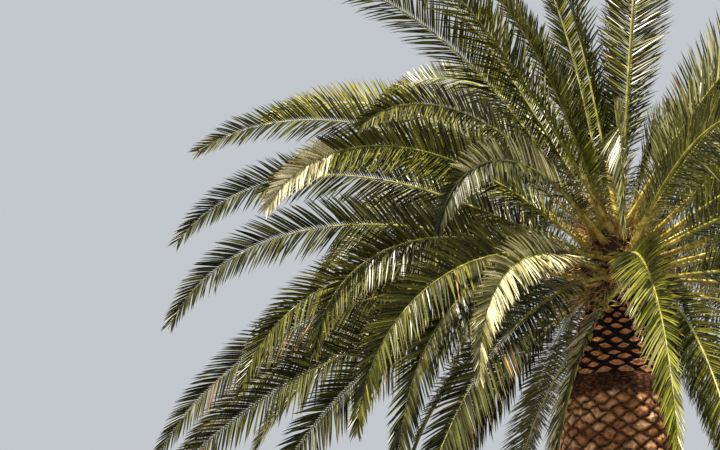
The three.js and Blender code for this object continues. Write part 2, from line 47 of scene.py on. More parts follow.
# Trunk
TRUNK_RADIUS = 0.425
TRUNK_TOP = 3.060
TOP_LEAN = 0.140
LEAN_HEIGHT = 3.900
FLARE_RADIUS = 0.610
FLARE_FADE = 0.26  # height in which the root flare shrinks to about a third
FLARE_LOBES = 5
LOBE_DEPTH = 0.07  # share of the radius
LOBE_FADE = 0.3
LEDGE_HEIGHTS = (2.93, 2.98, 3.02, 3.045, TRUNK_TOP)  # the shoulder under the collar
LEDGE_SHARES = (1, 0.985, 0.95, 0.9, 0.83)  # of the radius, at those heights
BARK_COLUMNS = 270
BARK_ROWS = 350
BARK_INSET = 0.014  # of the bark's grooves, under the solid's surface
SCAR_COLUMNS = 17
SCAR_HEIGHT = 0.100
SCAR_BULGE = 0.016
SCAR_UNEVENNESS = 0.008
SCAR_TILT = 0.014  # how much further a scar stands out at its foot than at its top
BARK_GRAIN = 0.003
MAT_FOOT = 2.87  # where the band of matted fibre under the collar starts
MAT_FADE = 0.05
MAT_GRAIN = 0.007

# Collar of cut leaf bases
COLLAR_TOP = 3.620
COLLAR_LOW_RADIUS = 0.352
COLLAR_HIGH_RADIUS = 0.222
CORE_INSET = 0.022
CORE_GRAIN = 0.010
STUB_COLUMNS = 14
STUB_ROWS = 12
STUB_HALF_WIDTH = 0.33  # share of the distance between stubs
STUB_HALF_HEIGHT = 0.0215
STUB_DEPTH = 0.070
STUB_PROUD = 0.022
LOW_STUB_SIZES = (1.35, 1.15)  # of the two lowest rows, compared with the others

# Heart
HEART_MIDDLE = 3.880
HEART_RADIUS = 0.280
HEART_HALF_HEIGHT = 0.420
HEART_INSET = 0.012
STRAND_COUNT = 1500
STRAND_LENGTHS = (0.06, 0.26)
STRAND_WIDTHS = (0.003, 0.010)

# Crown
FROND_COUNT = 88
FROND_LENGTH = 3.750
YOUNGEST_LENGTH = 0.86  # share of that length
LENGTH_GROWTH = 6  # a frond has its full length when its age, times this, comes to 1
GOLDEN_ANGLE = 137.508  # from each frond of the spiral to the next
FIRST_AZIMUTH = 20
YOUNGEST_LATITUDE = 80  # where fronds stand on the heart
OLDEST_LATITUDE = -26
LEVEL_LATITUDE = -9.5  # where a frond leaves the heart level
LATITUDE_A_DEGREE = 1.05  # of rise
RISE_SCATTER = 4
MOST_FALL = 90
MOST_FALL_AT = 28  # the rise of the fronds that turn down most
LEAST_FALL = 13
LEAST_FALL_AT = 85
FALL_SCATTER = 5
STEEPEST_TIP = 84  # the most that the tip of a spiral frond points down
UPRIGHT_RISE = 62  # the rises that part the spiral's fronds in three groups, each with its own leaf tones
ARCHING_RISE = 12
BENDS = (1.7, 1.9)  # of the youngest and the oldest frond: above 1, more of the turn is near the tip
TWIST = -70
TWIST_SCATTER = 14
SHOWN_SIDE = (135, 240)  # azimuths where the spiral's higher fronds are shorter
SHOWN_SIDE_RISE = 10
SHOWN_SIDE_SHARE = 0.76
CUT_SIDE = (243, 300)  # azimuths where the spiral has no hanging fronds
CUT_PLACE = 41  # the place of the spiral that stays empty
OPEN_SIDE = (-50, 50)  # azimuths where the spiral's upright fronds lean out more
OPEN_SIDE_RISE = 60
OPEN_SIDE_DROP = 15

# One frond: its stalk, its rib and its spines
PETIOLE_END = 0.15
BLADE_END = 0.98
RIB_STEPS = 60
RIB_CORNERS = 8
RIB_PLACES = (-0.01, 0.0, 0.02, 0.05, PETIOLE_END, 0.5, 1.0)
RIB_HALF_WIDTHS = (0.047, 0.044, 0.033, 0.022, 0.013, 0.0075, 0.0025)
RIB_HALF_HEIGHTS = (0.026, 0.025, 0.020, 0.016, 0.012, 0.008, 0.003)
RIB_TOP = 0.55  # how flat the upper face is, and how deep the keel under it
RIB_KEEL = 1.15
FULL_TWIST_AT = 0.4
SPINES_A_SIDE = 17
SPINE_START = 0.03
SPINE_ANGLES = (75, 55)  # to the stalk, of the lowest and the highest
SPINE_LENGTHS = (0.06, 0.22)
SPINE_WIDTH = 0.009

# Its leaflets
LEAFLETS_A_SIDE = 156
LEAFLET_LENGTH = 0.385
LEAFLET_WIDTH = 0.0145
LONGEST_AT = 0.25  # share of the blade
END_LENGTHS = (0.62, 0.3)  # shares of the longest, at the blade's foot and at its tip
LEAFLET_ANGLES = (56, 44)  # to the rib, at the blade's foot and at its tip
TIP_CLOSING = 14  # by which the last leaflets lie closer to the rib
TIP_CLOSING_FROM = 0.85  # share of the blade where that starts, and the share that it takes
TIP_CLOSING_OVER = 0.15
HANG_CLOSING = 0.4  # share by which leaflets of a hanging rib close on it
LEAFLET_LIFT = 20  # above the plane of the blade
RANK_LIFT = 7  # by which every other leaflet is raised or lowered
LEAFLET_FOLD = 0.8
LEAFLET_ROLL = 9  # by which leaflets differ in how they are turned
YOUNG_SAG = 0.05
AGE_SAG = 0.08
DRY_CHANCE = 0.003
LOW_DRY_CHANCE = 0.007  # more of them on fronds that rise less than this
LOW_RISE = 10
TIP_LEAFLETS = 0.28  # share of a row that takes the tone of the frond's tip

# The fronds that show best from the front: azimuth, rise, fall, length, bend, twist and leaf tones.
# One tone is for the whole frond. Of two or three, the first is for the left row, the second for the right
# row and the third for the leaflets near the tip, which otherwise take the first.
SHOWN_FRONDS = [
    (172, 38, 72, 3.55, 2.0, -82, "olive"),
    (157, 46, 66, 3.45, 1.9, -78, "yellow"),
    (135, 62, 78, 3.20, 1.8, -70, "fresh"),
    # Its tip leaflets take the near-white tone, a painted glare of the sun on them.
    (205, 31, 97, 3.05, 2.0, -85, "olive olive bleached"),
    (180, 27, 84, 3.50, 2.2, -82, "deep"),
    (188, 12, 80, 3.50, 2.4, -76, "deep"),
    (215, 5, 92, 3.00, 2.5, -86, "olive"),
    (196, 6, 86, 3.15, 2.2, -72, "olive"),
    (187, -3, 60, 3.70, 1.8, -76, "deep"),
    (201, -12, 42, 3.90, 1.8, -74, "deep"),
    (212, -12, 55, 3.60, 1.6, -70, "deep"),
    # Its leaflets take the pale tone as painted sunlight.
    (236, 1, 96, 2.50, 2.1, -52, "pale"),
    (225, -9, 64, 3.30, 0.9, -50, "deep"),
    (267, 3, 87, 2.95, 1.1, 48, "fresh"),
    # Its left row and its tip take the pale tone as painted sunlight.
    (5, 58, 40, 3.80, 1.6, 56, "pale waxy pale"),
    (185, 65, 40, 3.90, 1.6, -80, "fresh"),
    (176, 61, 66, 3.90, 1.9, -80, "olive"),
    # Its right row is pale as painted sunlight, and its lower, left row deep green as painted shade.
    (228, 32, 110, 2.45, 1.6, -72, "deep pale deep"),
]
# The same, for fronds that stand at these places of the spiral.
PLACED_FRONDS = {
    0: (0, 84, 6, 3.80, 1.6, 80, "olive"),
    2: (295, 82, 12, 3.60, 1.6, -42, "waxy olive"),
    7: (210, 81, 25, 3.60, 1.6, -60, "olive"),
    15: (301, 44, 74, 3.50, 1.8, -80, "waxy"),
    20: (216, 52, 42, 3.75, 1.7, -80, "fresh"),
    28: (260, 63, 166, 2.50, 1.15, 70, "pale waxy waxy"),
    46: (223, -5, 89, 3.20, 1.4, -60, "deep"),
    54: (223, -3, 80, 3.30, 1.9, -60, "olive"),
    66: (96, 1, 63, 3.50, 1.8, 10, "deep"),
    70: (279, -18, 70, 3.00, 1.1, 30, "olive"),
    82: (197, -33, 36, 2.70, 0.8, -70, "deep"),
    # Its right row takes the pale tone as painted sunlight.
    83: (229, -20, 66, 2.60, 0.6, 40, "olive pale waxy"),
    87: (103, -19, 45, 3.40, 1.8, -15, "olive"),
}
# Leaf tones of fronds that keep their shape from the spiral.
# The left row of frond 36 takes the pale tone as painted sunlight.
SPIRAL_TONES = {10: "waxy", 23: "waxy", 36: "pale olive olive"}

# Patterns in the materials: how many spots there are to a metre, and how deep their relief is
LEAF_SHADES_A_METRE = 9.0  # a shade changes over 111 mm
BLOTCHES_A_METRE = 22.0  # 45 mm each
FIBRES_A_METRE = (34, 34, 110)  # 29 mm long and 9 mm thick
RIND_RELIEF = 0.003
FIBRE_RELIEF = 0.006

# Studio
FLOOR_SIZE = 120
SKY_STRENGTH = 0.68
SUN_STRENGTH = 11.5
SUN_WIDTH = 2.5
SUN_WAY = (0.40, 0.40, -0.92)
CAMERA_LENS_MM = 70
CAMERA_SENSOR_MM = 36
CAMERA_PLACE = (-1.856, -10.6, 1.6)
CAMERA_TILT = 14
CAMERA_REACH = 300


def scatter(i, k):
    """A number from -1 to 1 that is the same each time for the same pair of indexes."""
    x = math.sin(i * 12.9898 + k * 78.233) * 43758.5453
    return 2 * (x - math.floor(x)) - 1


def lerp(a, b, t):
    return a + (b - a) * t


def unit(vectors):
    return vectors / np.linalg.norm(vectors, axis=-1, keepdims=True)


def direction(azimuth, elevation):
    """Unit vectors at these azimuths and elevations."""
    a, e = np.radians(azimuth), np.radians(elevation)
    return np.stack(np.broadcast_arrays(np.cos(e) * np.cos(a), np.cos(e) * np.sin(a), np.sin(e)), -1)


def lean_at(z):
    return TOP_LEAN * (np.maximum(z, 0) / LEAN_HEIGHT) ** 1.5


def fall_at(rise):
    """How far a frond turns down: the arching ones most, the upright and the hanging ones less."""
    if rise < MOST_FALL_AT:
        return MOST_FALL - (MOST_FALL_AT - rise)
    steeper = (rise - MOST_FALL_AT) / (LEAST_FALL_AT - MOST_FALL_AT)
    return MOST_FALL - (MOST_FALL - LEAST_FALL) * steeper ** 1.5


def spiral_frond(i):
    """The frond at this place of the spiral. Its age runs from 0 for the youngest to 1 for the oldest."""
    age = i / (FROND_COUNT - 1)
    height = lerp(math.sin(math.radians(YOUNGEST_LATITUDE)), math.sin(math.radians(OLDEST_LATITUDE)), age)
    latitude = math.degrees(math.asin(height))
    azimuth = (FIRST_AZIMUTH + i * GOLDEN_ANGLE) % 360
    rise = (latitude - LEVEL_LATITUDE) / LATITUDE_A_DEGREE + RISE_SCATTER * scatter(i, 1)
    if OPEN_SIDE[0] < (azimuth + 180) % 360 - 180 < OPEN_SIDE[1] and rise > OPEN_SIDE_RISE:
        rise -= OPEN_SIDE_DROP
    shorter = SHOWN_SIDE[0] < azimuth < SHOWN_SIDE[1] and rise > SHOWN_SIDE_RISE
    grown = lerp(YOUNGEST_LENGTH, 1, min(1, LENGTH_GROWTH * age))
    length = FROND_LENGTH * grown * (0.96 + 0.05 * scatter(i, 3))
    return {
        "index": i,
        "age": age,
        "site": (azimuth, latitude),
        "azimuth": azimuth,
        "rise": rise,
        "fall": min(fall_at(rise) + FALL_SCATTER * scatter(i, 2), rise + STEEPEST_TIP),
        "bend": lerp(*BENDS, age),
        "length": length * (SHOWN_SIDE_SHARE if shorter else 1),
        "twist": TWIST + TWIST_SCATTER * scatter(i, 4),
        "shown": False,
    }


def crown():
    """All fronds. Each one that shows best takes its own place, or that of the spiral's nearest frond."""
    fronds = [spiral_frond(i) for i in range(FROND_COUNT)]
    names = ("azimuth", "rise", "fall", "length", "bend", "twist", "tone")
    for i, values in PLACED_FRONDS.items():
        fronds[i].update(zip(names, values), shown=True)
    for i, tone in SPIRAL_TONES.items():
        fronds[i]["tone"] = tone
    for values in SHOWN_FRONDS:
        azimuth, rise = values[:2]
        wanted = direction(azimuth, LEVEL_LATITUDE + rise * LATITUDE_A_DEGREE)
        free = [f for f in fronds if not f["shown"]]
        nearest = max(free, key=lambda f: direction(*f["site"]) @ wanted)
        nearest.update(zip(names, values), shown=True)
    kept = [f for f in fronds if f["index"] != CUT_PLACE]
    return [f for f in kept if f["shown"] or f["rise"] > 0 or not CUT_SIDE[0] < f["azimuth"] < CUT_SIDE[1]]


def rib_path(frond):
    """The function that gives the places and directions along a frond's rib, at shares of its length."""
    azimuth, latitude = frond["site"]
    flat_reach = HEART_RADIUS * math.cos(math.radians(latitude))
    foot = flat_reach * direction(azimuth, 0)
    foot += (lean_at(HEART_MIDDLE), 0, HEART_MIDDLE + HEART_HALF_HEIGHT * math.sin(math.radians(latitude)))
    middles = (np.arange(RIB_STEPS) + 0.5) / RIB_STEPS
    slopes = frond["rise"] - frond["fall"] * middles ** frond["bend"]
    steps = direction(frond["azimuth"], slopes) * frond["length"] / RIB_STEPS
    points = np.vstack([foot, foot + np.cumsum(steps, 0)])
    shares = np.linspace(0, 1, RIB_STEPS + 1)

    def at(s):
        """Places, and the directions along the rib, to its left and up from it. Below 0 is the heart."""
        s = np.asarray(s, float)
        place = np.stack([np.interp(s, shares, points[:, k]) for k in range(3)], -1)
        inside = np.maximum(s, 0)
        along = direction(frond["azimuth"], frond["rise"] - frond["fall"] * inside ** frond["bend"])
        place += along * (np.minimum(s, 0) * frond["length"])[:, None]
        flat = np.broadcast_to(direction(frond["azimuth"] + 90, 0), along.shape)
        over = np.cross(along, flat)
        roll = np.radians(frond["twist"] * np.minimum(inside / FULL_TWIST_AT, 1) ** 0.75)[:, None]
        left = flat * np.cos(roll) + over * np.sin(roll)
        up = over * np.cos(roll) - flat * np.sin(roll)
        return place, along, left, up

    return at


# Making meshes


def piece(name, points, faces, materials, smooth=True, marks=None, face_materials=None):
    """A mesh object of this name that rides on the part. Marks are numbers at its points, by name."""
    mesh = bpy.data.meshes.new(name)
    mesh.from_pydata(points.tolist(), [], faces)
    for material in materials:
        mesh.materials.append(material)
    if face_materials is not None:
        mesh.polygons.foreach_set("material_index", face_materials)
    for mark, values in (marks or {}).items():
        mesh.attributes.new(mark, "FLOAT", "POINT").data.foreach_set("value", values)
    mesh.polygons.foreach_set("use_smooth", [smooth] * len(mesh.polygons))
    obj = bpy.data.objects.new(name, mesh)
    bpy.context.scene.collection.objects.link(obj)
    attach(obj, "root")
    return obj


def joined(point_sets, faces):
    """Joins equal copies of one shape into one list of points and one of faces."""
    points_each = point_sets.shape[1]
    all_faces = []
    for k in range(len(point_sets)):
        all_faces.extend(tuple(corner + k * points_each for corner in face) for face in faces)
    return point_sets.reshape(-1, 3), all_faces


def deselect_all():
    for obj in bpy.context.selected_objects:
        obj.select_set(False)


def taken_mesh(obj):
    """The points and faces of a finished primitive, which is then removed."""
    points = np.array([v.co for v in obj.data.vertices])
    faces = [tuple(p.vertices) for p in obj.data.polygons]
    mesh = obj.data
    bpy.data.objects.remove(obj)
    bpy.data.meshes.remove(mesh)
    return points, faces


# Materials


def linear(hex_colour):
    """An sRGB hex colour as linear values, with full alpha."""
    parts = [int(hex_colour[k : k + 2], 16) / 255 for k in (1, 3, 5)]
    return tuple([c / 12.92 if c <= 0.04045 else ((c + 0.055) / 1.055) ** 2.4 for c in parts] + [1.0])


def add_node(tree, kind, settings=(), inputs=(), links=(), stops=()):
    """Adds a node, sets its properties, inputs and colour stops, and links (input, node, output) to it."""
    node = tree.nodes.new(kind)
    for key, value in dict(settings).items():
        setattr(node, key, value)
    for key, value in dict(inputs).items():
        node.inputs[key].default_value = value
    for key, source, output in links:
        tree.links.new(source.outputs[output], node.inputs[key])
    for _ in stops[2:]:
        node.color_ramp.elements.new(0.5)
    for k, (place, colour) in enumerate(stops):
        node.color_ramp.elements[k].position = place
        node.color_ramp.elements[k].color = linear(colour)
    return node


def new_material(name, roughness, specular_level=0.5):
    """A material of this name, with its node tree and the shader in it."""
    material = bpy.data.materials.new(name)
    material.use_nodes = True
    shader = material.node_tree.nodes["Principled BSDF"]
    shader.inputs["Roughness"].default_value = roughness
    shader.inputs["Specular IOR Level"].default_value = specular_level
    return material, material.node_tree, shader


def leaf_material(name, dark, middle, light, roughness, gloss):
    """Palm leaflet: its smooth waxy cuticle gives it a satin green that shines white towards the sun.

    Each leaflet has a shade of its own, which changes a little over 111 mm, and its tip dries brown. Its
    veins are under 1 mm apart, too fine to show on a leaflet two pixels wide, so they aren't drawn.
    """
    material, tree, shader = new_material(name, roughness, gloss)
    place = add_node(tree, "ShaderNodeTexCoord")
    shades = add_node(
        tree,
        "ShaderNodeTexNoise",
        inputs={"Scale": LEAF_SHADES_A_METRE, "Detail": 3.0, "Roughness": 0.6},
        links=[("Vector", place, "Object")],
    )
    own = add_node(tree, "ShaderNodeAttribute", {"attribute_name": "own_tone"})
    blend = add_node(
        tree,
        "ShaderNodeMix",
        {"data_type": "FLOAT"},
        {"Factor": 0.6},
        [("A", shades, "Fac"), ("B", own, "Fac")],
    )
    green = add_node(
        tree,
        "ShaderNodeValToRGB",
        links=[("Fac", blend, "Result")],
        stops=[(0.25, dark), (0.5, middle), (0.75, light)],
    )
    along = add_node(tree, "ShaderNodeAttribute", {"attribute_name": "along"})
    dried = add_node(
        tree,
        "ShaderNodeValToRGB",
        links=[("Fac", along, "Fac")],
        stops=[(0.86, "#000000"), (0.99, "#ffffff")],
    )
    whole = add_node(
        tree,
        "ShaderNodeMix",
        {"data_type": "RGBA"},
        {"B": linear("#6e5638")},
        [("Factor", dried, "Color"), ("A", green, "Color")],
    )
    tree.links.new(whole.outputs["Result"], shader.inputs["Base Color"])
    return material


def rind_material(name, dark, middle, light, roughness, spots_a_metre, bump):
    """Rind, husk or fibre in three shades, with so many spots to a metre, which also stand out as relief."""
    material, tree, shader = new_material(name, roughness)
    place = add_node(tree, "ShaderNodeTexCoord")
    spots = add_node(
        tree,
        "ShaderNodeTexNoise",
        inputs={"Scale": spots_a_metre, "Detail": 5.0, "Roughness": 0.65},
        links=[("Vector", place, "Object")],
    )
    shades = add_node(
        tree,
        "ShaderNodeValToRGB",
        links=[("Fac", spots, "Fac")],
        stops=[(0.32, dark), (0.5, middle), (0.68, light)],
    )
    tree.links.new(shades.outputs["Color"], shader.inputs["Base Color"])
    relief = add_node(
        tree,
        "ShaderNodeBump",
        inputs={"Strength": bump, "Distance": RIND_RELIEF},
        links=[("Height", spots, "Fac")],
    )
    tree.links.new(relief.outputs["Normal"], shader.inputs["Normal"])
    return material


def bark_material():
    """Weathered palm bark: matt ochre leaf scars, brown fibre in the grooves and a mat under the collar.

    Blotches of 45 mm stain each scar, which is 157 mm wide and 100 mm high. The fibres run round the
    trunk. They are 1 mm thick in life, too fine to show, so they are drawn 9 mm thick and 29 mm long.
    """
    material, tree, shader = new_material("weathered palm bark", 0.92, 0.2)
    place = add_node(tree, "ShaderNodeTexCoord")
    edge = add_node(tree, "ShaderNodeAttribute", {"attribute_name": "scar_edge"})
    tone = add_node(tree, "ShaderNodeAttribute", {"attribute_name": "scar_tone"})
    mat = add_node(tree, "ShaderNodeAttribute", {"attribute_name": "fibre_mat"})
    blotches = add_node(
        tree,
        "ShaderNodeTexNoise",
        inputs={"Scale": BLOTCHES_A_METRE, "Detail": 7.0, "Roughness": 0.68},
        links=[("Vector", place, "Object")],
    )
    stretched = add_node(
        tree, "ShaderNodeMapping", inputs={"Scale": FIBRES_A_METRE}, links=[("Vector", place, "Object")]
    )
    fibre = add_node(
        tree,
        "ShaderNodeTexNoise",
        inputs={"Scale": 1.0, "Detail": 5.0},
        links=[("Vector", stretched, "Vector")],
    )
    scars = add_node(
        tree,
        "ShaderNodeValToRGB",
        links=[("Fac", tone, "Fac")],
        stops=[(0.0, "#8e6244"), (0.5, "#dcab80"), (1.0, "#f8d8b0")],
    )
    stains = add_node(
        tree,
        "ShaderNodeValToRGB",
        links=[("Fac", blotches, "Fac")],
        stops=[(0.34, "#6b584c"), (0.5, "#cdbdb0"), (0.66, "#ffffff")],
    )
    stained = add_node(
        tree,
        "ShaderNodeMix",
        {"data_type": "RGBA", "blend_type": "MULTIPLY"},
        {"Factor": 1.0},
        [("A", scars, "Color"), ("B", stains, "Color")],
    )
    fibres = add_node(
        tree,
        "ShaderNodeValToRGB",
        links=[("Fac", fibre, "Fac")],
        stops=[(0.35, "#120703"), (0.52, "#3c2211"), (0.72, "#744c2c")],
    )
    worn = add_node(
        tree, "ShaderNodeMath", {"operation": "MULTIPLY_ADD"}, {1: 0.9, 2: -0.45}, [(0, blotches, "Fac")]
    )
    ragged = add_node(tree, "ShaderNodeMath", {"operation": "ADD"}, links=[(0, edge, "Fac"), (1, worn, 0)])
    groove = add_node(
        tree, "ShaderNodeValToRGB", links=[("Fac", ragged, 0)], stops=[(0.42, "#000000"), (0.92, "#ffffff")]
    )
    scarred = add_node(
        tree,
        "ShaderNodeMix",
        {"data_type": "RGBA"},
        links=[("Factor", groove, "Color"), ("A", stained, "Result"), ("B", fibres, "Color")],
    )
    whole = add_node(
        tree,
        "ShaderNodeMix",
        {"data_type": "RGBA"},
        links=[("Factor", mat, "Fac"), ("A", scarred, "Result"), ("B", fibres, "Color")],
    )
    tree.links.new(whole.outputs["Result"], shader.inputs["Base Color"])
    relief = add_node(
        tree,
        "ShaderNodeBump",
        inputs={"Strength": 0.6, "Distance": FIBRE_RELIEF},
        links=[("Height", fibre, "Fac")],
    )
    tree.links.new(relief.outputs["Normal"], shader.inputs["Normal"])
    return material


leaf_tones = {
    "fresh": leaf_material("fresh green palm leaflet", "#2d3204", "#50540d", "#80822a", 0.36, 0.42),
    "olive": leaf_material("olive palm leaflet", "#222404", "#42420e", "#6d6d2b", 0.36, 0.42),
    "deep": leaf_material("deep green palm leaflet", "#171a06", "#313411", "#57592e", 0.38, 0.36),
    "waxy": leaf_material("waxy palm leaflet", "#1b1e06", "#4e501d", "#95955e", 0.33, 0.6),
    # A lighter, greyer green: painted sunlight, for the rows that face the sun.
    "pale": leaf_material("palm leaflet with painted sunlight", "#3c3c14", "#928d5c", "#dcd6ae", 0.36, 0.42),
    "yellow": leaf_material("yellowing palm leaflet", "#54520d", "#848125", "#b6b150", 0.38, 0.4),
    # Near white: a painted glare, for leaflets that mirror the sun.
    "bleached": leaf_material("bleached palm leaflet", "#857e52", "#bfb78f", "#efe8cf", 0.36, 0.5),
    "dry": leaf_material("dry palm leaflet", "#5a4424", "#87693c", "#b39762", 0.6, 0.2),
}
# Living rind of the ribs: hard and smooth, so it draws a pale satin line down each frond. Its shades change
# over 71 mm.
rachis_rind = rind_material("pale palm rachis", "#5d5e18", "#8b8a38", "#bdb873", 0.36, 14.0, 0.1)
# Living rind of the stalks: smooth and yellow, with brown patches of 83 mm left by the sheath.
petiole_rind = rind_material("yellow palm leaf stalk", "#55330c", "#ac9b35", "#e2d888", 0.38, 12.0, 0.25)
# Spines: leaflets that grow as hard points, green to yellow in shades of 33 mm, so each has two or more.
spine_rind = rind_material("green palm spine", "#474718", "#787638", "#b0aa70", 0.5, 30.0, 0.1)
# Sheath fibre: a matt brown web of threads 1 mm thick, too fine to show, so it is drawn as clumps of 22 mm.
sheath_fibre = rind_material("coarse sheath fibre", "#140b05", "#38210f", "#64411f", 0.9, 45.0, 0.8)
# Loose strands of that fibre: dry and matt, and bleached by the sun in patches of 25 mm.
dry_fibre = rind_material("dry sheath strand", "#6f4d2c", "#ac8558", "#dcbf9a", 0.8, 40.0, 0.1)
# Cut faces: sawn and weathered, so matt and orange brown. The fibre ends in them are 2 mm wide, too fine
# to show, so they are drawn as patches of 18 mm.
cut_face = rind_material("cut palm leaf base", "#6a3a1c", "#a36b40", "#cd9c6c", 0.85, 55.0, 0.5)
# Husk of the old leaf bases: matt brown fibre, made nearly black as painted shade in the gaps,
# in flakes of 25 mm.
husk_and_shade = rind_material("brown leaf base husk", "#0b0603", "#1f120a", "#3d2716", 0.95, 40.0, 0.8)
bark = bark_material()


# Fronds


def rib_section(shares):
    """Half width and half height of a rib at these shares of its length."""
    return np.interp(shares, RIB_PLACES, RIB_HALF_WIDTHS), np.interp(shares, RIB_PLACES, RIB_HALF_HEIGHTS)


def swept_ribs(name, paths, shares, material):
    """Joined tubes along the ribs: a rounded section with a flat upper face and a keel under it."""
    turns = np.arange(RIB_CORNERS) * 2 * math.pi / RIB_CORNERS
    across = np.cos(turns)
    over = np.where(np.sin(turns) > 0, RIB_TOP * np.sin(turns), RIB_KEEL * np.sin(turns))
    widths, heights = rib_section(shares)
    faces = []
    for low in range(0, (len(shares) - 1) * RIB_CORNERS, RIB_CORNERS):
        high = low + RIB_CORNERS
        for c in range(RIB_CORNERS):
            n = (c + 1) % RIB_CORNERS
            faces.append((low + c, high + c, high + n, low + n))
    last = (len(shares) - 1) * RIB_CORNERS
    faces.append(tuple(range(RIB_CORNERS)))
    faces.append(tuple(reversed(range(last, last + RIB_CORNERS))))
    sets = []
    for at in paths:
        place, _, left, up = at(shares)
        rings = place[:, None] - left[:, None] * (across[None, :, None] * widths[:, None, None])
        rings = rings + up[:, None] * (over[None, :, None] * heights[:, None, None])
        sets.append(rings.reshape(-1, 3))
    points, all_faces = joined(np.array(sets), faces)
    return piece(name, points, all_faces, [material])


def leaflet_template():
    """One leaflet, a strip folded along its middle: how far across and along each point is, and faces."""
    deselect_all()
    bpy.ops.mesh.primitive_grid_add(x_subdivisions=2, y_subdivisions=4, size=2, location=(0, 0, 0))
    obj = bpy.context.object
    bm = bmesh.new()
    bm.from_mesh(obj.data)
    tip = [v for v in bm.verts if v.co.y > 0.99]
    bmesh.ops.pointmerge(bm, verts=tip, merge_co=(0, 1, 0))
    bm.to_mesh(obj.data)
    bm.free()
    points, faces = taken_mesh(obj)
    along = np.interp((points[:, 1] + 1) / 2, (0, 0.25, 0.5, 0.75, 1), (0, 0.12, 0.5, 0.8, 1))
    return points[:, 0], along, faces


ACROSS, ALONG, LEAFLET_FACES = leaflet_template()
STRIP_WIDTH = np.interp(ALONG, (0, 0.12, 0.5, 0.8, 1), (0.4, 1.0, 1.0, 0.58, 0.0))


def strips(base, axis, side_axis, length, width, fold, sag):
    """Points of many leaflets at once, from their feet, their directions and their sizes."""
    normal = np.cross(side_axis, axis)
    half = (STRIP_WIDTH * ACROSS)[None, :, None] * (width / 2)[:, None, None]
    raised = (STRIP_WIDTH * np.abs(ACROSS))[None, :, None] * (fold * width / 2)[:, None, None]
    out = base[:, None] + axis[:, None] * (length[:, None] * ALONG)[:, :, None]
    out = out + side_axis[:, None] * half + normal[:, None] * raised
    out[:, :, 2] -= (sag * length)[:, None] * ALONG**2
    return out


def strip_piece(name, sets, material):
    """One piece of many strips. Each has a tone of its own, and marks say how far along it a point is."""
    points, faces = joined(sets, LEAFLET_FACES)
    own_tone = np.repeat(rng.uniform(0, 1, len(sets)), len(ACROSS))
    marks = {"own_tone": own_tone, "along": np.tile(ALONG, len(sets))}
    return piece(name, points, faces, [material], smooth=False, marks=marks)


def leaflet_share(t):
    """The leaflet's length as a share of the longest, at a share of the blade."""
    growing = lerp(END_LENGTHS[0], 1, t / LONGEST_AT)
    shrinking = lerp(1, END_LENGTHS[1], (np.maximum(t - LONGEST_AT, 0) / (1 - LONGEST_AT)) ** 1.8)
    return np.where(t < LONGEST_AT, growing, shrinking)


def leaflet_rows(frond, at):
    """The left and the right row of leaflets of one frond, each as an array of copies of the strip."""
    rows = []
    for side in (1, -1):
        k = np.arange(LEAFLETS_A_SIDE)
        t = (k + (0.25 if side > 0 else 0.75)) / LEAFLETS_A_SIDE
        s = lerp(PETIOLE_END, BLADE_END, t)
        place, along, left, up = at(s)
        widths, heights = rib_section(s)
        jitter = rng.normal(0, 1, (5, len(k)))
        hanging = 1 - HANG_CLOSING * np.maximum(-along[:, 2], 0) ** 2
        closing = TIP_CLOSING * np.maximum(t - TIP_CLOSING_FROM, 0) / TIP_CLOSING_OVER
        sweep = np.radians((lerp(*LEAFLET_ANGLES, t) - closing) * hanging + 3 * jitter[0])
        lift = LEAFLET_LIFT + RANK_LIFT * np.where(k % 2, 1, -1) * (1 - 0.6 * t) + 5 * jitter[1]
        lift = np.radians(lift)
        outward = side * left * np.cos(lift)[:, None] + up * np.sin(lift)[:, None]
        axis = unit(along * np.cos(sweep)[:, None] + outward * np.sin(sweep)[:, None])
        side_axis = unit(along - axis * np.sum(along * axis, -1, keepdims=True)) * side
        roll = np.radians(LEAFLET_ROLL * jitter[4])[:, None]
        side_axis = side_axis * np.cos(roll) + np.cross(axis, side_axis) * np.sin(roll)
        base = place + side * left * (0.75 * widths)[:, None] + up * (0.2 * heights)[:, None]
        length = LEAFLET_LENGTH * leaflet_share(t) * (0.96 + 0.04 * np.clip(jitter[2], -1.5, 1))
        length = length * min(1, frond["length"] / FROND_LENGTH + 0.1)
        width = LEAFLET_WIDTH * (0.75 + 0.25 * leaflet_share(t)) * (1 + 0.08 * jitter[3])
        sag = np.full(len(k), YOUNG_SAG + AGE_SAG * frond["age"])
        rows.append(strips(base, axis, side_axis, length, width, LEAFLET_FOLD, sag))
    return rows


def row_tones(frond):
    """The leaf tones of a frond's left row, right row and tip. Those that show best are set one by one."""
    if "tone" in frond:
        left, right, tip, *_ = frond["tone"].split() * 3
        return left, right, tip
    if frond["rise"] > UPRIGHT_RISE:
        tone = "olive" if scatter(frond["index"], 7) > -0.3 else "fresh"
    elif frond["rise"] > ARCHING_RISE:
        tone = "olive" if scatter(frond["index"], 7) > -0.2 else "fresh"
    else:
        tone = ("deep", "olive", "yellow")[int(1.5 * (scatter(frond["index"], 8) + 1))]
    return tone, tone, tone


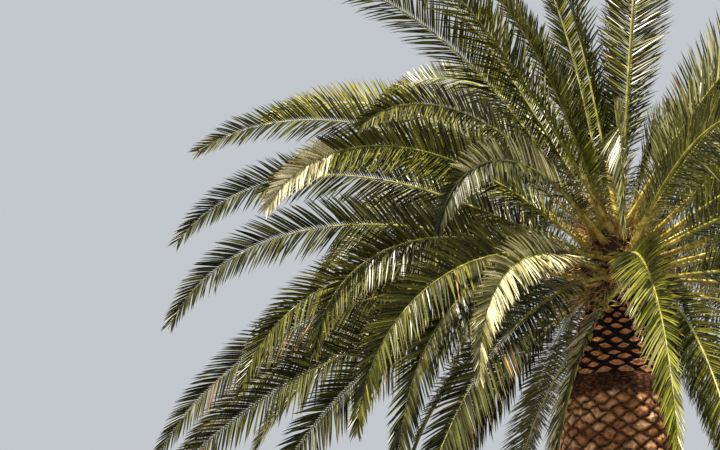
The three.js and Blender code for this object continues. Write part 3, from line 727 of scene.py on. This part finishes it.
def spines_of(frond_at):
    """The stiff spines at a frond's foot, which point out from the stalk in several directions."""
    rows = []
    for side in (1, -1):
        k = np.arange(SPINES_A_SIDE)
        t = (k + rng.uniform(0, 1, len(k))) / SPINES_A_SIDE
        s = lerp(SPINE_START, PETIOLE_END + 0.01, t)
        place, along, left, up = frond_at(s)
        widths, _ = rib_section(s)
        sweep = np.radians(lerp(*SPINE_ANGLES, t) + rng.normal(0, 9, len(k)))
        lift = np.radians(rng.normal(25, 22, len(k)))
        outward = side * left * np.cos(lift)[:, None] + up * np.sin(lift)[:, None]
        axis = unit(along * np.cos(sweep)[:, None] + outward * np.sin(sweep)[:, None])
        side_axis = unit(along - axis * np.sum(along * axis, -1, keepdims=True)) * side
        base = place + side * left * (0.7 * widths)[:, None]
        length = lerp(*SPINE_LENGTHS, t) * rng.uniform(0.7, 1.1, len(k))
        width = np.full(len(k), SPINE_WIDTH)
        rows.append(strips(base, axis, side_axis, length, width, 0.9, np.zeros(len(k))))
    return np.concatenate(rows)


fronds = crown()
paths = [rib_path(f) for f in fronds]
frond_nodes = [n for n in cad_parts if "frond" in n]

rachises = swept_ribs("rachises", paths, np.linspace(0.13, 1.0, 34), rachis_rind)
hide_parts(*frond_nodes)
swept_ribs("petioles", paths, np.linspace(-0.01, 0.135, 10), petiole_rind)

leaf_sets = {tone: [] for tone in leaf_tones}
in_tip = np.arange(LEAFLETS_A_SIDE) >= round(LEAFLETS_A_SIDE * (1 - TIP_LEAFLETS))
for frond, at in zip(fronds, paths):
    left_tone, right_tone, tip_tone = row_tones(frond)
    dry_chance = DRY_CHANCE + (LOW_DRY_CHANCE if frond["rise"] < LOW_RISE else 0)
    for row, tone in zip(leaflet_rows(frond, at), (left_tone, right_tone)):
        is_dry = rng.uniform(0, 1, len(row)) < dry_chance
        leaf_sets["dry"].append(row[is_dry])
        leaf_sets[tone].append(row[~is_dry & ~in_tip])
        leaf_sets[tip_tone].append(row[~is_dry & in_tip])
for tone, sets in leaf_sets.items():
    strip_piece(f"leaflets_{tone}", np.concatenate(sets), leaf_tones[tone])

strip_piece("spines", np.concatenate([spines_of(at) for at in paths]), spine_rind)


# Heart


def ripple(points, scale, seed):
    """A smooth number from about -1 to 1 at each point, from a few crossed waves."""
    waves = np.random.default_rng(seed)
    total = np.zeros(len(points))
    for _ in range(6):
        way = unit(waves.normal(0, 1, 3))
        total += np.sin(points @ way * scale * waves.uniform(0.6, 1.6) + waves.uniform(0, 6.28))
    return total / 3


def heart_dome():
    """The fibrous dome that the stalks stand on, lumpy and drawn out in upright folds."""
    deselect_all()
    bpy.ops.mesh.primitive_uv_sphere_add(segments=96, ring_count=64, radius=1)
    points, faces = taken_mesh(bpy.context.object)
    rough = 1 + 0.05 * ripple(points, 9, 3) + 0.04 * ripple(points * (1, 1, 0.25), 45, 4)
    radius = HEART_RADIUS - HEART_INSET
    points = points * (radius, radius, HEART_HALF_HEIGHT - HEART_INSET) * rough[:, None]
    points += (lean_at(HEART_MIDDLE), 0, HEART_MIDDLE)
    points[:, 2] = np.maximum(points[:, 2], COLLAR_TOP - 0.02)
    obj = piece("heart_dome", points, faces, [sheath_fibre])
    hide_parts("heart")


def heart_strands():
    """Loose dry strands of the leaf sheaths, standing out between the stalks."""
    azimuth = rng.uniform(0, 360, STRAND_COUNT)
    latitude = np.degrees(np.arcsin(rng.uniform(-0.55, 0.95, STRAND_COUNT)))
    outward = direction(azimuth, latitude)
    base = outward * (HEART_RADIUS, HEART_RADIUS, HEART_HALF_HEIGHT)
    base += (lean_at(HEART_MIDDLE), 0, HEART_MIDDLE)
    axis = unit(outward + rng.normal(0, 0.45, (STRAND_COUNT, 3)))
    side_axis = unit(np.cross(axis, rng.normal(0, 1, (STRAND_COUNT, 3))))
    length = rng.uniform(*STRAND_LENGTHS, STRAND_COUNT)
    width = rng.uniform(*STRAND_WIDTHS, STRAND_COUNT)
    sets = strips(base, axis, side_axis, length, width, 0.3, rng.uniform(-0.2, 0.6, STRAND_COUNT))
    strip_piece("heart_strands", sets, dry_fibre)


heart_dome()
heart_strands()


# Collar


def collar_radius(share):
    return lerp(COLLAR_LOW_RADIUS, COLLAR_HIGH_RADIUS, share**1.25)


def collar_core():
    """The fibrous cone that the cut leaf bases stand on, made nearly black as painted shade between them."""
    deselect_all()
    bpy.ops.mesh.primitive_cylinder_add(vertices=120, radius=1, depth=1, location=(0, 0, 0.5))
    obj = bpy.context.object
    bpy.ops.object.transform_apply(location=True, rotation=False, scale=False)
    bm = bmesh.new()
    bm.from_mesh(obj.data)
    upright = [e for e in bm.edges if abs(e.verts[0].co.z - e.verts[1].co.z) > 0.5]
    bmesh.ops.subdivide_edges(bm, edges=upright, cuts=60, use_grid_fill=True)
    bm.to_mesh(obj.data)
    bm.free()
    points, faces = taken_mesh(obj)
    share = np.clip(points[:, 2], 0, 1)
    radius = collar_radius(share) - CORE_INSET + CORE_GRAIN * ripple(points * (1, 1, 0.6), 60, 5)
    flat = points[:, :2] * radius[:, None]
    z = lerp(TRUNK_TOP - 0.02, COLLAR_TOP + 0.01, share)
    points = np.column_stack([flat[:, 0] + lean_at(z), flat[:, 1], z])
    piece("collar_core", points, faces, [husk_and_shade])


def stub_template():
    """A cut leaf base drawn out along +Y: an eye shape with pointed ends, a wide root and a worn rim."""
    deselect_all()
    bpy.ops.mesh.primitive_circle_add(vertices=18, radius=1)
    circle, _ = taken_mesh(bpy.context.object)
    x = circle[:, 0]
    lens = np.sign(circle[:, 1]) * (1 - np.abs(x) ** 1.5) * np.where(circle[:, 1] > 0, 1, 0.8)
    # The root's two rings take the husk, nearly black as painted shade behind each cut face.
    husk_levels = [(0.0, 1.45, 1.7), (0.55, 1.15, 1.25)]
    face_levels = [(0.93, 1.0, 1.0), (1.0, 0.94, 0.86), (0.985, 0.8, 0.66), (0.95, 0.4, 0.3)]
    levels = husk_levels + face_levels
    rings = [
        np.column_stack([x * wide, np.full(len(x), depth), lens * tall]) for depth, wide, tall in levels
    ]
    corners = len(x)
    faces = []
    kinds = []
    for level in range(len(levels) - 1):
        for c in range(corners):
            n = (c + 1) % corners
            a, b = level * corners, (level + 1) * corners
            faces.append((a + c, b + c, b + n, a + n))
            kinds.append(0 if level >= len(husk_levels) else 1)
    faces.append(tuple((len(levels) - 1) * corners + c for c in reversed(range(corners))))
    faces.append(tuple(range(corners)))
    kinds += [0, 1]
    return np.vstack(rings), faces, kinds


def cut_leaf_bases():
    """The stubs of the cut fronds, in staggered rows round the collar, largest at the ledge."""
    template, faces, kinds = stub_template()
    sets = []
    for row in range(STUB_ROWS + 1):
        for column in range(STUB_COLUMNS):
            seed = row * 31 + column
            half_columns = 2 * column + (row + 1) % 2 + 0.22 * scatter(seed, 11)
            share = min(max((row + 0.22 * scatter(seed, 12)) / STUB_ROWS, 0), 1)
            z = lerp(TRUNK_TOP, COLLAR_TOP, share)
            radius = collar_radius(share)
            turn = math.pi * half_columns / STUB_COLUMNS
            pitch = 2 * math.pi * radius / STUB_COLUMNS
            size = LOW_STUB_SIZES[row] if row < len(LOW_STUB_SIZES) else 1
            half_width = STUB_HALF_WIDTH * pitch * size * (1 + 0.16 * scatter(seed, 13))
            half_height = STUB_HALF_HEIGHT * size * (1 + 0.2 * scatter(seed, 17))
            outward = direction(math.degrees(turn), -4 + 10 * scatter(seed, 15))
            across = unit(np.cross((0, 0, 1), outward))
            over = np.cross(outward, across)
            spin = 0.2 * scatter(seed, 16)
            across, over = (
                across * math.cos(spin) + over * math.sin(spin),
                over * math.cos(spin) - across * math.sin(spin),
            )
            way = unit(outward + (0, 0, 0.25))
            reach = radius + (STUB_PROUD + 0.007 * scatter(seed, 14))
            front = np.array([math.cos(turn) * reach + lean_at(z), math.sin(turn) * reach, z])
            shape = -template[:, :1] * half_width * across + template[:, 2:] * half_height * over
            depth = (template[:, 1:2] - 1) * STUB_DEPTH * way
            sets.append(front + depth + shape)
    points, all_faces = joined(np.array(sets), faces)
    obj = piece(
        "cut_leaf_bases",
        points,
        all_faces,
        [cut_face, husk_and_shade],
        smooth=False,
        face_materials=kinds * len(sets),
    )
    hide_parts("leaf_base_collar")


collar_core()
cut_leaf_bases()


# Trunk


def trunk_radius(z, turn):
    """The radius of the solid trunk, with its flare, the flare's lobes and the shoulder under the collar."""
    radius = TRUNK_RADIUS + (FLARE_RADIUS - TRUNK_RADIUS) * np.exp(-z / FLARE_FADE)
    radius = radius * np.interp(z, LEDGE_HEIGHTS, LEDGE_SHARES)
    return radius * (1 + LOBE_DEPTH * np.exp(-z / LOBE_FADE) * np.sin(FLARE_LOBES * turn + 1))


def scar_lattice(turn, z):
    """For each point: 1 in a groove and less away from it, its scar's number and its place up the scar."""
    around = np.column_stack([np.cos(turn), np.sin(turn), z])
    a = turn * SCAR_COLUMNS / (2 * math.pi)
    a = a + 0.13 * ripple(around * (1, 1, 2), 7, 21) + 0.08 * ripple(around, 30, 23)
    b = z / SCAR_HEIGHT + 0.16 * ripple(around * (1, 1, 2), 6, 22) + 0.10 * ripple(around, 26, 24)
    da, db = a - np.round(a), b - np.round(b)
    spread = np.abs(da) + np.abs(db)
    second = spread > 0.5
    i = np.where(second, np.floor(a) + 0.5, np.round(a)) % SCAR_COLUMNS
    j = np.where(second, np.floor(b) + 0.5, np.round(b))
    up = np.where(second, b - np.floor(b) - 0.5, db)
    value = np.sin(i * 127.1 + j * 311.7) * 43758.5453
    return 2 * np.minimum(spread, 1 - spread), value - np.floor(value), up


def trunk_bark():
    """The whole trunk: a grid wrapped round it, with the relief of the leaf scars and of the fibre mat."""
    deselect_all()
    bpy.ops.mesh.primitive_grid_add(x_subdivisions=BARK_COLUMNS, y_subdivisions=BARK_ROWS, size=2)
    obj = bpy.context.object
    points = np.array([v.co for v in obj.data.vertices])
    turn = (points[:, 0] + 1) * math.pi
    z = (points[:, 1] + 1) / 2 * TRUNK_TOP
    edge, value, up = scar_lattice(turn, z)
    around = np.column_stack([np.cos(turn), np.sin(turn), z])
    mat_foot = MAT_FOOT + 0.035 * ripple(around, 9, 27) + 0.02 * ripple(around, 31, 28)
    mat = np.clip((z - mat_foot) / MAT_FADE, 0, 1)
    dome = np.sqrt(np.clip(1 - edge, 0, 1))
    relief = (1 - mat) * (SCAR_BULGE * dome + SCAR_UNEVENNESS * value * dome - SCAR_TILT * up * dome)
    relief += BARK_GRAIN * ripple(around * (1, 1, 0.8), 70, 25) + BARK_GRAIN * ripple(around, 160, 29)
    relief += mat * MAT_GRAIN * ripple(around * (1, 1, 0.7), 40, 26)
    radius = trunk_radius(z, turn) - BARK_INSET + relief
    points = np.column_stack([radius * np.cos(turn) + lean_at(z), radius * np.sin(turn), z])
    obj.data.vertices.foreach_set("co", points.ravel())
    for name, values in (("scar_edge", edge), ("scar_tone", value), ("fibre_mat", mat)):
        obj.data.attributes.new(name, "FLOAT", "POINT").data.foreach_set("value", values)
    bm = bmesh.new()
    bm.from_mesh(obj.data)
    bmesh.ops.remove_doubles(bm, verts=bm.verts, dist=1e-5)
    bmesh.ops.holes_fill(bm, edges=[e for e in bm.edges if e.is_boundary], sides=0)
    bm.to_mesh(obj.data)
    bm.free()
    obj.name = "trunk_bark"
    obj.data.materials.append(bark)
    obj.data.polygons.foreach_set("use_smooth", [True] * len(obj.data.polygons))
    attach(obj, "root")
    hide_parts("trunk")


trunk_bark()


# Floor, light and camera


def studio():
    deselect_all()
    bpy.ops.mesh.primitive_plane_add(size=FLOOR_SIZE)
    floor = bpy.context.object
    floor.name = "floor"
    paint, _, shader = new_material("pale studio floor", 0.9)
    shader.inputs["Base Color"].default_value = linear("#7a7873")
    floor.data.materials.append(paint)

    world = bpy.data.worlds.new("studio")
    bpy.context.scene.world = world
    world.use_nodes = True
    sky = world.node_tree.nodes["Background"]
    sky.inputs["Color"].default_value = linear("#e8edf2")
    sky.inputs["Strength"].default_value = SKY_STRENGTH

    key = bpy.data.lights.new("key", "SUN")
    key.energy = SUN_STRENGTH
    key.angle = math.radians(SUN_WIDTH)
    key.color = linear("#fff3e0")[:3]
    lamp = bpy.data.objects.new("key", key)
    lamp.rotation_euler = Vector(SUN_WAY).to_track_quat("-Z", "Y").to_euler()
    bpy.context.scene.collection.objects.link(lamp)


def front_camera():
    """Stands where the palm shows as it does best: low, in front and a little to the left, looking up."""
    data = bpy.data.cameras.new("camera")
    data.lens = CAMERA_LENS_MM
    data.sensor_width = CAMERA_SENSOR_MM
    data.clip_end = CAMERA_REACH
    camera = bpy.data.objects.new("camera", data)
    camera.location = CAMERA_PLACE
    camera.rotation_euler = (math.radians(90 + CAMERA_TILT), 0, 0)
    bpy.context.scene.collection.objects.link(camera)
    bpy.context.scene.camera = camera


studio()
front_camera()
bpy.context.scene.view_settings.view_transform = "Standard"
